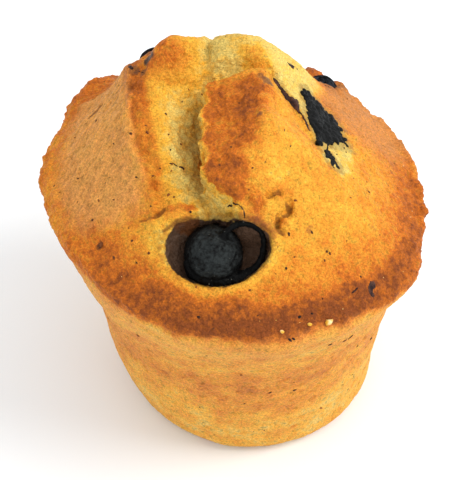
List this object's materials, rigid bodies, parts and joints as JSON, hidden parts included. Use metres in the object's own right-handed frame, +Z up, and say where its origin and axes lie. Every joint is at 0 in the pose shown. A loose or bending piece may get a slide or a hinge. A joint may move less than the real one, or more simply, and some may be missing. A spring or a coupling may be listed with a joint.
{
  "type": "blueberry friand",
  "caption": "Small round baked cake with a tapered wall, a browned overhanging lip, a split domed top and whole blueberries showing in its crust.",
  "frame": {"origin": "middle of the flat foot that the cake rests on", "axes": "+Z up through the dome, -Y towards the hollow in the front of the crust that holds a burst berry, +X to the right as seen from there"},
  "size_m": [0.074, 0.0731, 0.0755],
  "materials": {
    "crust": "baked golden crust, matt",
    "berry_skin": "wrinkled dark berry skin, soft sheen"
  },
  "bodies": {
    "root": {"cake": "crust", "berry_front": "berry_skin", "berry_right": "berry_skin", "berry_back": "berry_skin", "berry_left": "berry_skin"}
  },
  "joints": []
}
